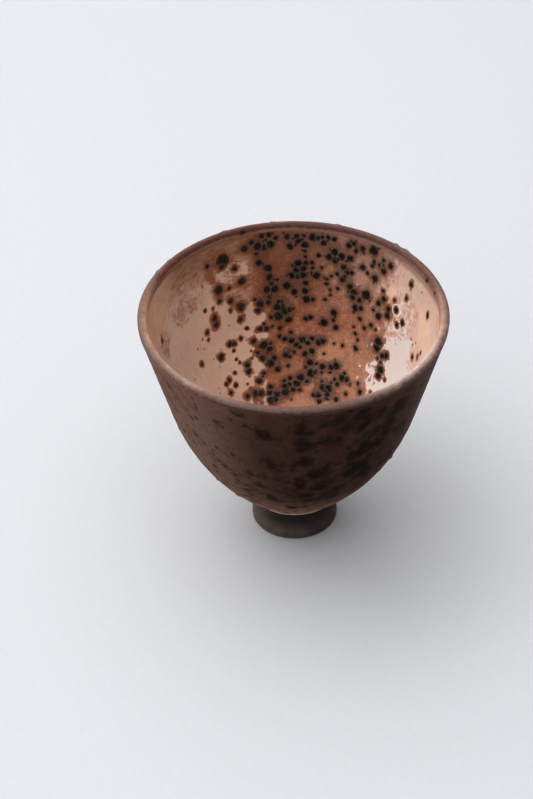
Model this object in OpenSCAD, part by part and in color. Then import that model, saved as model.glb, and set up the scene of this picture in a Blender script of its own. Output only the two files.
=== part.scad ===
// Footed stoneware cup, wheel-thrown: a flared bowl luted on to a separately thrown foot ring,
// with a glaze coat inside, another outside and an iron-rich coat over the lip.
// Millimetres. +Z up. The origin is the centre of the foot, on the table.
//
// The bowl's section is a round floor, a straight cone, a belly arc and a straight flare, each
// running smoothly into the next. body_curve() gives that section at any depth below the
// outside face. The clay and the coats are closed between such curves, so the coats fit the
// clay exactly. Each piece is its own section, turned about Z.

/* [Bowl] */
// Diameter across the lip, glaze included
rim_d = 100; // [92:1:110]
// Height from the table to the top of the lip
cup_h = 86.5; // [82:0.5:94]
// Lean of the upper wall, outwards from upright, in degrees
flare = 15.6; // [14:0.2:17]
// Slope of the lower wall, above level, in degrees
cone_slope = 45; // [44:0.5:47]
// Radius of the belly between the lower and the upper wall
belly_r = 77.5; // [66:0.5:84]

/* [Wall] */
// Thickness of the lip, glaze included
lip_t = 2.9; // [2.5:0.1:3.6]
// Thickness of the floor and the lower wall, glaze included
floor_t = 4.6; // [4:0.1:6]

/* [Foot] */
// Radius at which the bowl's underside meets the foot
joint_r = 14.2; // [13.8:0.1:15]
// Height at which the bowl's underside meets the foot
joint_h = 11.3; // [10:0.1:13]
// Widest diameter of the foot, low on its side
foot_d = 28.8; // [28:0.2:30]
// Diameter of the hollow turned inside the foot ring
hollow_d = 20.4; // [19:0.2:22]
// How far the foot's side is drawn in at its waist
waist_in = 0.7; // [0.5:0.1:1.2]
// Height of the waist above the table
waist_h = 7.6; // [7:0.1:8.5]
// Height of the foot's widest line above the table
widest_h = 2; // [1.5:0.1:2.5]
// Radius with which the side turns in above the widest line
shoulder_r = 4; // [3:0.5:5]
// Rounding of the foot's two bottom edges
edge_r = 0.9; // [0.5:0.1:1.2]

/* [Glaze and slip] */
// Thickness of each glaze coat, and of the slip under the bowl
glaze_t = 0.5; // [0.4:0.05:0.6]
// Radius of the thick roll of glaze where the outside coat stops above the foot
roll_r = 0.6; // [0.5:0.05:0.7]
// Bare clay between the foot and the roll, along the wall
bare_w = 0.5; // [0.3:0.1:1]
// How far the lip coat runs down the inside wall, below the round of the lip
lip_coat_in = 1.4; // [0.4:0.1:4]
// How far the lip coat runs down the outside wall, below the round of the lip
lip_coat_out = 0.3; // [0.2:0.1:3]

/* [Hidden] */
$fn = 180;

arc_error = 0.004; // how far a chord of a drawn arc may lie inside the true arc

// Colours of the fired clay, the slip and the three coats
clay_colour = [0.24, 0.18, 0.15];
slip_colour = [0.30, 0.23, 0.19];
inside_colour = [0.78, 0.52, 0.38];
outside_colour = [0.38, 0.26, 0.20];
lip_colour = [0.40, 0.27, 0.24];

foot_r = foot_d / 2;
hollow_r = hollow_d / 2;

// The round end of the wall
lip_r = lip_t / 2;
lip_centre = [rim_d / 2 - lip_r, cup_h - lip_r];

// One point on the cone and one on the flare, both on the outside face, and the way in from there
joint = [joint_r, joint_h];
cone_inward = [-sin(cone_slope), cos(cone_slope)];
cone_upward = [cos(cone_slope), sin(cone_slope)];
flare_inward = [-cos(flare), sin(flare)];
lip_outside = lip_centre - lip_r * flare_inward;
lip_inside = lip_centre + lip_r * flare_inward;

// The heights at which the lip coat stops, on the outside and on the inside
low_outside = lip_outside[1] - lip_coat_out;
low_inside = lip_inside[1] - lip_coat_in;

// The round floor is centred on the axis and runs into the cone at the joint
floor_r = joint_r / sin(cone_slope);
floor_centre = [0, joint_h + floor_r * cos(cone_slope)];

// The depth of the inside faces of the clay and of the glaze, on the cone and on the flare
clay_inside = [floor_t - glaze_t, lip_t - glaze_t];
glaze_inside = [floor_t, lip_t];

// Points along an arc, as many as arc_error asks for
function arc(centre, radius, from, to) =
    let (
        step = 2 * acos(1 - arc_error / radius),
        steps = ceil(abs(to - from) / step)
    )
    [for (i = [0 : steps]) let (a = from + (to - from) * i / steps) centre + radius * [cos(a), sin(a)]];

function reversed(points) = [for (i = [len(points) - 1 : -1 : 0]) points[i]];

// How far the flare lies inwards of the axis' foot, along its own inward direction
function flare_offset(flare_depth) = flare_depth + flare_inward * lip_outside;

// Where the cone, moved in by cone_depth, crosses the flare, moved in by flare_depth
function crossing(cone_depth, flare_depth) =
    let (
        k = cone_depth + cone_inward * joint,
        m = flare_offset(flare_depth)
    )
    [k * sin(flare) - m * cos(cone_slope), k * cos(flare) - m * sin(cone_slope)]
        / cos(cone_slope + flare);

// The belly arc, tangent to the cone and to the flare at their depths
function belly_arc(cone_depth, flare_depth) =
    let (radius = belly_r - (cone_depth + flare_depth) / 2)
    arc(crossing(cone_depth + radius, flare_depth + radius), radius, cone_slope - 90, -flare);

// The round floor at a depth, from the axis out to the cone
function floor_arc(cone_depth) = arc(floor_centre, floor_r - cone_depth, -90, cone_slope - 90);

// The section curve from the axis to the top of the belly. The flare above it is straight
function body_curve(cone_depth, flare_depth) =
    concat(floor_arc(cone_depth), belly_arc(cone_depth, flare_depth));

// The point of the flare at a depth and a height
function flare_at(flare_depth, height) =
    [(sin(flare) * height - flare_offset(flare_depth)) / cos(flare), height];

// The round end of the wall, from the outside to the inside, with a skin taken off
function lip_arc(skin) = arc(lip_centre, lip_r - skin, -flare, 180 - flare);

// Thrown and turned bowl: clay only, rounded at the lip and under the floor
module bowl() {
    color(clay_colour) rotate_extrude() polygon(concat(
        body_curve(glaze_t, glaze_t),
        lip_arc(glaze_t),
        reversed(body_curve(clay_inside[0], clay_inside[1]))
    ));
}

// Foot ring: rounded bottom edges, a short shoulder, a drawn-in waist, a hollow inside,
// and a top cut to fit the bowl's round underside
module foot() {
    shoulder_centre = [foot_r - shoulder_r, widest_h];
    // The waist is a hollow arc that the shoulder's arc runs into
    rise = waist_h - widest_h;
    step = shoulder_r - waist_in;
    waist_r = (step * step + rise * rise - shoulder_r * shoulder_r) / (2 * waist_in);
    waist_centre = [foot_r - waist_in + waist_r, waist_h];
    turn = asin(rise / (waist_r + shoulder_r));
    color(clay_colour) rotate_extrude() difference() {
        polygon(concat(
            arc([hollow_r + edge_r, edge_r], edge_r, 180, 270),
            arc([foot_r - edge_r, edge_r], edge_r, 270, 360),
            arc(shoulder_centre, shoulder_r, 0, turn),
            arc(waist_centre, waist_r, 180 + turn, 180 - turn),
            [[hollow_r, joint_h]]
        ));
        polygon(concat(body_curve(0, 0), [[0, cup_h]]));
    }
}

// Slip that joins the foot to the bowl, over the whole top of the foot ring
module joining_slip() {
    face_r = floor_r - glaze_t;
    color(slip_colour) rotate_extrude() polygon(concat(
        arc(floor_centre, floor_r, -acos(hollow_r / floor_r), cone_slope - 90),
        arc(floor_centre, face_r, cone_slope - 90, -acos(hollow_r / face_r))
    ));
}

// Glaze lining: the whole inside, up to the lip coat
module inside_glaze() {
    color(inside_colour) rotate_extrude() polygon(concat(
        body_curve(clay_inside[0], clay_inside[1]),
        [flare_at(clay_inside[1], low_inside), flare_at(glaze_inside[1], low_inside)],
        reversed(body_curve(glaze_inside[0], glaze_inside[1]))
    ));
}

// Outside glaze: from the lip coat down to a thick roll just above the foot
module outside_glaze() {
    // The roll stands half its radius proud of the coat, and rests on the clay
    proud = roll_r / 2;
    roll_centre = joint + (bare_w + roll_r) * cone_upward + (roll_r - proud) * cone_inward;
    on_clay = cone_slope - 180 - asin((glaze_t - roll_r + proud) / roll_r);
    on_coat = cone_slope - asin((roll_r - proud) / roll_r);
    color(outside_colour) rotate_extrude() polygon(concat(
        arc(roll_centre, roll_r, on_clay, on_coat),
        belly_arc(0, 0),
        [flare_at(0, low_outside), flare_at(glaze_t, low_outside)],
        reversed(belly_arc(glaze_t, glaze_t))
    ));
}

// Iron-rich coat over the lip, down to a line on each side
module lip_glaze() {
    color(lip_colour) rotate_extrude() polygon(concat(
        [flare_at(0, low_outside)],
        lip_arc(0),
        [flare_at(glaze_inside[1], low_inside), flare_at(clay_inside[1], low_inside)],
        reversed(lip_arc(glaze_t)),
        [flare_at(glaze_t, low_outside)]
    ));
}

bowl();
foot();
joining_slip();
inside_glaze();
outside_glaze();
lip_glaze();
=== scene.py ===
import math
import random
import bmesh
import bpy
import numpy as np
from mathutils import Matrix, Vector, noise


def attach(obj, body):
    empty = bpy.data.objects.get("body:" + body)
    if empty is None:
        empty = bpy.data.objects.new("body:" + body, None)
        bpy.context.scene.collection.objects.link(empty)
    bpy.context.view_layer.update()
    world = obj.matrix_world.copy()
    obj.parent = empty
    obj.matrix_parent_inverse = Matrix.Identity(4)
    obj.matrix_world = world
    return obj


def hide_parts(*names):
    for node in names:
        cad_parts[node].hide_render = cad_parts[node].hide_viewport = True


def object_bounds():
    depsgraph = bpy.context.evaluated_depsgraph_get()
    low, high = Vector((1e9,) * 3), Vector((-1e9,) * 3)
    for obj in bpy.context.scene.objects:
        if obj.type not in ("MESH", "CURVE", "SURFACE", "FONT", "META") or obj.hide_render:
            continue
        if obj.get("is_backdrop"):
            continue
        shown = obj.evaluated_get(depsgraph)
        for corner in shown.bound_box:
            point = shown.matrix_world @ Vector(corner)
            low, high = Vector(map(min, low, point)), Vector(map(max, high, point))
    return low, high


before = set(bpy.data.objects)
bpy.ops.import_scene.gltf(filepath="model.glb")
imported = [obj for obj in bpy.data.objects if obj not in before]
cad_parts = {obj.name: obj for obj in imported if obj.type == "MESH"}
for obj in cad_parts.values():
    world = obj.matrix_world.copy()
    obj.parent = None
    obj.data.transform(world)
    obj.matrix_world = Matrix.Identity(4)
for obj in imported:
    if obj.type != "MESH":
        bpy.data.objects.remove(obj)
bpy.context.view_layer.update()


# -------------------- bowl
# The bowl is thrown from a dark stoneware that is full of iron. The coats cover it, apart from
# a thin bare line above the foot and its underside inside the foot ring.

class Layer:
    """One socket of a finish. Arithmetic on it adds Math nodes."""

    def __init__(self, finish, socket):
        self.finish = finish
        self.socket = socket

    def maths(self, operation, first, second):
        return self.finish.add("ShaderNodeMath", {"operation": operation}, {0: first, 1: second})

    def __add__(self, other):
        return self.maths("ADD", self, other)

    def __sub__(self, other):
        return self.maths("SUBTRACT", self, other)

    def __rsub__(self, other):
        return self.maths("SUBTRACT", other, self)

    def __mul__(self, other):
        return self.maths("MULTIPLY", self, other)

    __radd__ = __add__
    __rmul__ = __mul__

    def rise(self, low, high):
        """0 below low, 1 above high and a smooth slope between."""
        return self.finish.add("ShaderNodeMapRange", {"interpolation_type": "SMOOTHSTEP"}, {
            "Value": self, "From Min": low, "From Max": high})

    def over(self, other):
        """The larger of the two at each point."""
        return self.maths("MAXIMUM", self, other)


def linear(colour):
    """A colour as it looks on a screen, 0 to 255, made ready for a shader."""
    shares = [level / 255 for level in colour]
    return [level / 12.92 if level <= 0.04045 else ((level + 0.055) / 1.055) ** 2.4
            for level in shares] + [1.0]


class Finish:
    """The material of one surface, mixed from nodes. Patterns are placed in the object's metres.

    Its colour is laid on in steps, from the ground up.
    """

    def __init__(self, name):
        self.colour = None
        self.material = bpy.data.materials.new(name)
        self.material.use_nodes = True
        self.tree = self.material.node_tree
        self.surface = self.tree.nodes["Principled BSDF"]
        self.place = self.add("ShaderNodeTexCoord", output="Object")

    def add(self, kind, settings=None, sockets=None, output=0):
        made = self.tree.nodes.new(kind)
        for name, value in (settings or {}).items():
            setattr(made, name, value)
        for name, value in (sockets or {}).items():
            self.feed(made.inputs[name], value)
        return Layer(self, made.outputs[output])

    def feed(self, socket, value):
        if isinstance(value, Layer):
            self.tree.links.new(value.socket, socket)
        else:
            socket.default_value = linear(value) if socket.type == "RGBA" else value

    def clouds(self, size, detail=3.0, rough=0.55, seed=0.0, run=1.0):
        """Soft noise, 0 to 1, features size millimetres wide and run times as tall."""
        place = self.add("ShaderNodeVectorMath", {"operation": "MULTIPLY"}, {
            0: self.place, 1: (1, 1, 1 / run)})
        return self.add("ShaderNodeTexNoise", {"noise_dimensions": "4D"}, {
            "Vector": place, "W": seed, "Scale": 1000 / size, "Detail": detail,
            "Roughness": rough})

    def axis(self, index):
        """How far along X, Y or Z (index 0, 1 or 2) a point lies, in millimetres."""
        return self.add("ShaderNodeSeparateXYZ", {}, {0: self.place}, index) * 1000

    def cells(self, size, output="Distance", seed=0.0):
        """Scattered points about size millimetres apart: how far the next one is, or its colour."""
        return self.add("ShaderNodeTexVoronoi", {"voronoi_dimensions": "4D"}, {
            "Vector": self.place, "W": seed, "Scale": 1000 / size}, output)

    def blend(self, amount, under, above):
        """Colour above laid over colour under, by amount."""
        return self.add("ShaderNodeMix", {"data_type": "RGBA"}, {0: amount, 6: under, 7: above}, 2)

    def lay(self, amount, above):
        """Lay a colour over what the surface has so far, by amount."""
        self.colour = self.blend(amount, self.colour, above)

    def specks(self, size, apart, share, seed=0.0):
        """Small round specks of about size millimetres, at that share of the scattered points."""
        kept = self.add("ShaderNodeSeparateColor", {}, {0: self.cells(apart, "Color", seed)})
        near = 1 - self.cells(apart, "Distance", seed).rise(0.3 * size / apart, 0.6 * size / apart)
        return near * kept.rise(1 - share, 1.02 - share)

    def read(self, name):
        """A value painted on the mesh."""
        return self.add("ShaderNodeAttribute", {"attribute_name": name}, {}, "Fac")

    def finish(self, roughness, relief, depth, gloss):
        """The finished material, with a relief of up to depth millimetres."""
        bump = self.add("ShaderNodeBump", {}, {"Distance": depth / 1000, "Height": relief}, "Normal")
        self.feed(self.surface.inputs["Base Color"], self.colour)
        self.feed(self.surface.inputs["Roughness"], roughness)
        self.feed(self.surface.inputs["Normal"], bump)
        self.surface.inputs["Specular IOR Level"].default_value = gloss
        return self.material

    def glassy(self, amount, roughness):
        """A clear glassy skin where amount is high."""
        self.feed(self.surface.inputs["Coat Weight"], amount)
        self.surface.inputs["Coat Roughness"].default_value = roughness


def fired_clay(name, light, dark, depth):
    """Bare stoneware: mottled, gritty, with dark iron specks and a few pale grains."""
    clay = Finish(name)
    mottle = clay.clouds(3.5, 5)
    grit = clay.clouds(0.5, 3, 0.6, 2.0)
    clay.colour = clay.blend((mottle + 0.4 * grit).rise(0.5, 0.9), dark, light)
    iron = clay.specks(0.45, 1.5, 0.3)
    grains = clay.specks(0.3, 1.3, 0.14, 4.0)
    clay.lay(0.7 * iron, (22, 17, 15))
    clay.lay(0.5 * grains, (150, 128, 110))
    return clay.finish(0.72 + 0.16 * grit - 0.2 * iron, grit + 0.5 * grains, depth, 0.35)


def cover(node, material):
    """Give a piece of the solid model its material."""
    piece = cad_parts[node]
    piece.data.materials.clear()
    piece.data.materials.append(material)


cover("bowl", fired_clay("bare_stoneware", (112, 88, 73), (78, 60, 50), 0.12))


# -------------------- joining slip
# The foot was luted on with slip of the same clay, brushed over the top of the foot ring. It
# shows as a thin line in the corner between the foot and the bowl.

cover("joining_slip", fired_clay("joining_slip", (118, 92, 76), (84, 64, 54), 0.08))


# -------------------- foot
# A small ring thrown by itself and turned when leather hard. Turning lines run round its side,
# and its rounded base is worn a little lighter. Bare clay, darker than the bowl's.

mm = 0.001
section_plane = (0, -1, 0)  # the section is drawn in X and Z, and swings from X towards Z


def sweep(section, corner, **path):
    """Add edges to the section from a corner of it. The last new corner comes back."""
    swept = bmesh.ops.spin(section, geom=[corner], axis=section_plane, **path)
    return next(part for part in swept["geom_last"] if isinstance(part, bmesh.types.BMVert))


def swing(section, corner, centre, degrees, steps):
    """Draw an arc from a corner of the section about a centre."""
    middle = (centre[0], 0, centre[1])
    return sweep(section, corner, cent=middle, angle=math.radians(degrees), steps=steps)


def draw(section, corner, across, up, steps=1):
    """Draw a straight line from a corner of the section to (across, up)."""
    step = (Vector((across, 0, up)) - corner.co) / steps
    return sweep(section, corner, dvec=step, steps=steps)


def throw(section, turns):
    """Turn a section a full round about Z and close it, faces outwards."""
    bmesh.ops.remove_doubles(section, verts=section.verts, dist=0.0005)
    bmesh.ops.spin(
        section, geom=section.verts[:] + section.edges[:], axis=(0, 0, 1),
        angle=math.tau, steps=turns, use_merge=True)
    bmesh.ops.remove_doubles(section, verts=section.verts, dist=0.0005)
    bmesh.ops.recalc_face_normals(section, faces=section.faces)


def fire(shape, name, material, sharp=50):
    """Make the finished piece from a shape in millimetres."""
    for edge in shape.edges:
        edge.smooth = edge.calc_face_angle(0) < math.radians(sharp)
    for face in shape.faces:
        face.smooth = True
    bmesh.ops.scale(shape, vec=(mm, mm, mm), verts=shape.verts)
    mesh = bpy.data.meshes.new(name)
    shape.to_mesh(mesh)
    shape.free()
    mesh.materials.append(material)
    piece = bpy.data.objects.new(name, mesh)
    bpy.context.scene.collection.objects.link(piece)
    return piece


def points(piece):
    """Every vertex of a piece in millimetres, and its normal, as two arrays."""
    places = np.empty(len(piece.data.vertices) * 3)
    outward = np.empty_like(places)
    piece.data.vertices.foreach_get("co", places)
    piece.data.vertex_normals.foreach_get("vector", outward)
    return places.reshape(-1, 3) / mm, outward.reshape(-1, 3)


def move(piece, places):
    """Put every vertex of a piece at its place, in millimetres."""
    piece.data.vertices.foreach_set("co", (places * mm).ravel())
    piece.data.update()


def paint(piece, **layers):
    """Keep values on the vertices, by name, for the material to read."""
    for name, values in layers.items():
        piece.data.attributes.new(name, "FLOAT", "POINT").data.foreach_set("value", values)


def wander(places, size, seed):
    """Smooth noise, about -1 to 1, at each place, with features of size millimetres."""
    shift = Vector((seed * 17.3, seed * 5.1, seed * 9.7))
    return np.array([noise.noise(Vector(place) / size + shift) for place in places])


foot_r = 14.4
hollow_r = 10.2
edge_r = 0.9
widest_h = 2.0
waist_h = 7.6
waist_in = 0.7
shoulder_r = 4.0
joint_r = 14.2
joint_h = 11.3
cone_slope = 45.0
floor_r = joint_r / math.sin(math.radians(cone_slope))  # the round underside of the bowl
floor_up = joint_h + floor_r * math.cos(math.radians(cone_slope))

waist_rise = waist_h - widest_h
waist_step = shoulder_r - waist_in
waist_r = (waist_step ** 2 + waist_rise ** 2 - shoulder_r ** 2) / (2 * waist_in)
waist_turn = math.degrees(math.asin(waist_rise / (waist_r + shoulder_r)))
waist_across = foot_r - waist_in + waist_r
# The hollow arc of the waist runs up to where it meets the round underside
gap = math.hypot(waist_across, floor_up - waist_h)
lean = math.degrees(math.atan2(floor_up - waist_h, waist_across))
meet = math.degrees(math.acos(
    (waist_r ** 2 + gap ** 2 - floor_r ** 2) / (2 * waist_r * gap)))
waist_top = lean - meet

foot_shape = bmesh.new()
start = foot_shape.verts.new((hollow_r, 0, edge_r))
corner = swing(foot_shape, start, (hollow_r + edge_r, edge_r), 90, 8)
corner = draw(foot_shape, corner, foot_r - edge_r, 0, 8)
corner = swing(foot_shape, corner, (foot_r - edge_r, edge_r), 90, 8)
corner = draw(foot_shape, corner, foot_r, widest_h, 3)
corner = swing(foot_shape, corner, (foot_r - shoulder_r, widest_h), waist_turn, 4)
corner = swing(foot_shape, corner, (waist_across, waist_h), -waist_turn - waist_top, 32)
under = math.degrees(math.asin(corner.co.x / floor_r) - math.asin(hollow_r / floor_r))
corner = swing(foot_shape, corner, (0, floor_up), -under, 6)
draw(foot_shape, corner, hollow_r, edge_r, 8)
throw(foot_shape, 200)

foot_wear_and_shade = Finish("turned_foot_clay")
across = foot_wear_and_shade.axis(0)
high = foot_wear_and_shade.axis(2)
grit = foot_wear_and_shade.clouds(0.45, 3, 0.6)
mottle = foot_wear_and_shade.clouds(4.0, 4, 0.6, 1.0)
iron = foot_wear_and_shade.specks(0.4, 1.6, 0.25, 3.0)
wear = foot_wear_and_shade.read("wear")
foot_wear_and_shade.colour = foot_wear_and_shade.blend(
    (mottle + 0.3 * grit).rise(0.45, 0.85), (68, 56, 51), (100, 84, 77))
# Painted shade darkens it up under the bowl; painted light makes it lighter on its left, and painted
# shade makes it darker towards its right
foot_wear_and_shade.lay(0.9 * (high + 3 * (mottle - 0.5)).rise(2.2, 8.5), (16, 11, 10))
foot_wear_and_shade.lay(0.55 * (1 - (across + 2 * (mottle - 0.5)).rise(-14, -6)), (104, 90, 84))
foot_wear_and_shade.lay(0.4 * (across + 3 * (mottle - 0.5)).rise(-3, 9), (28, 19, 17))
# The bottoms of the turning grooves are darkened: painted shade in the grooves
foot_wear_and_shade.lay(0.5 * foot_wear_and_shade.read("lines"), (32, 26, 24))
foot_wear_and_shade.lay(0.55 * wear, (128, 106, 92))
foot_wear_and_shade.lay(0.7 * iron, (20, 16, 14))
turned_clay = foot_wear_and_shade.finish(0.62 + 0.2 * grit - 0.12 * wear, grit - 0.4 * iron, 0.08, 0.2)

foot = fire(foot_shape, "turned_foot", turned_clay)
places, outward = points(foot)
height = places[:, 2]
bearing = np.arctan2(places[:, 1], places[:, 0])
# The tool leaves a shallow spiral of lines from just above the base to just under the bowl
line_pitch = 0.8
line_depth = 0.035
turned_from = 0.6
turned_to = 10.6
turned = np.clip((height - turned_from) / 0.6, 0, 1) * np.clip((turned_to - height) / 0.8, 0, 1)
spiral = np.sin(math.tau * height / line_pitch - bearing) * (0.6 + 0.4 * wander(places, 5, 3))
cut = line_depth * turned * (spiral - 1) + 0.03 * turned * (wander(places, 2.2, 5) - 1)
move(foot, places + outward * cut[:, None])
rubbed = np.clip(1 - height / edge_r, 0, 1) * np.clip(0.7 + 0.6 * wander(places, 3, 8), 0, 1)
paint(foot, wear=rubbed, lines=turned * np.clip(-spiral, 0, 1))
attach(foot, "root")
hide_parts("foot")


# -------------------- inside glaze
# A satin, iron-speckled glaze poured inside. It is pale where it is thick and rust where it is
# thin, and iron grains under it have boiled up into black blisters with brown haloes.

rim_r = 50.0
cup_h = 86.5
flare = 15.6
belly_r = 77.5
lip_t = 2.9
floor_t = 4.6
glaze_t = 0.5


def toward(degrees):
    """One millimetre in the section, at that angle above level."""
    return Vector((math.cos(math.radians(degrees)), math.sin(math.radians(degrees))))


slope_up = toward(cone_slope)
slope_in = toward(cone_slope + 90)
flare_up = toward(90 - flare)
flare_in = toward(180 - flare)
joint = Vector((joint_r, joint_h))
lip_r = lip_t / 2
lip_centre = Vector((rim_r - lip_r, cup_h - lip_r))
lip_outside = lip_centre - lip_r * flare_in


def wall(low_depth, high_depth):
    """Where the wall's straight cone ends, its belly's centre and radius, and its flare begins."""
    radius = belly_r - (low_depth + high_depth) / 2
    low = low_depth + radius + slope_in.dot(joint)
    high = high_depth + radius + flare_in.dot(lip_outside)
    belly = (low * flare_up - high * slope_up) / math.cos(math.radians(cone_slope + flare))
    return belly - radius * slope_in, belly, belly - radius * flare_in


def flare_at(depth, up):
    """How far out the flare is, at a depth and a height."""
    start = lip_outside + depth * flare_in
    return start.x + (up - start.y) * flare_up.x / flare_up.y


def wall_up(section, corner, depths, top, rows):
    """Draw a face of the wall upwards: the cone, the belly and the flare as far as the top."""
    cone_end, belly, _ = wall(*depths)
    corner = draw(section, corner, cone_end.x, cone_end.y, rows[0])
    corner = swing(section, corner, belly, 90 - cone_slope - flare, rows[1])
    return draw(section, corner, flare_at(depths[1], top), top, rows[2])


def wall_down(section, corner, depths, end, rows):
    """Draw a face of the wall downwards: the flare, the belly and the cone as far as its end."""
    _, belly, flare_start = wall(*depths)
    corner = draw(section, corner, flare_start.x, flare_start.y, rows[0])
    corner = swing(section, corner, belly, cone_slope + flare - 90, rows[1])
    return draw(section, corner, end.x, end.y, rows[2])


glaze_top = 84.6
lining = bmesh.new()
skin = lining.verts.layers.int.new("skin")
corner = lining.verts.new((0, 0, floor_up - floor_r + floor_t - glaze_t))
corner = swing(lining, corner, (0, floor_up), cone_slope, 8)
corner = wall_up(lining, corner, (floor_t - glaze_t, lip_t - glaze_t), glaze_top, (1, 16, 8))
before = set(lining.verts)
corner = draw(lining, corner, flare_at(lip_t, glaze_top), glaze_top)
corner = wall_down(lining, corner, (floor_t, lip_t), joint + floor_t * slope_in, (15, 54, 8))
swing(lining, corner, (0, floor_up), -cone_slope, 14)
for vert in set(lining.verts) - before:
    vert[skin] = 1
inside_line = sorted((vert.co.x, vert.co.z) for vert in lining.verts if vert[skin])
throw(lining, 240)


def on_wall(line, bearing, height, *sizes):
    """A spot on the wall, given by its bearing in degrees and its height."""
    out = np.interp(height, [z for x, z in line], [x for x, z in line])
    turn = math.radians(bearing)
    return (out * math.cos(turn), out * math.sin(turn), height) + sizes


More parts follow.
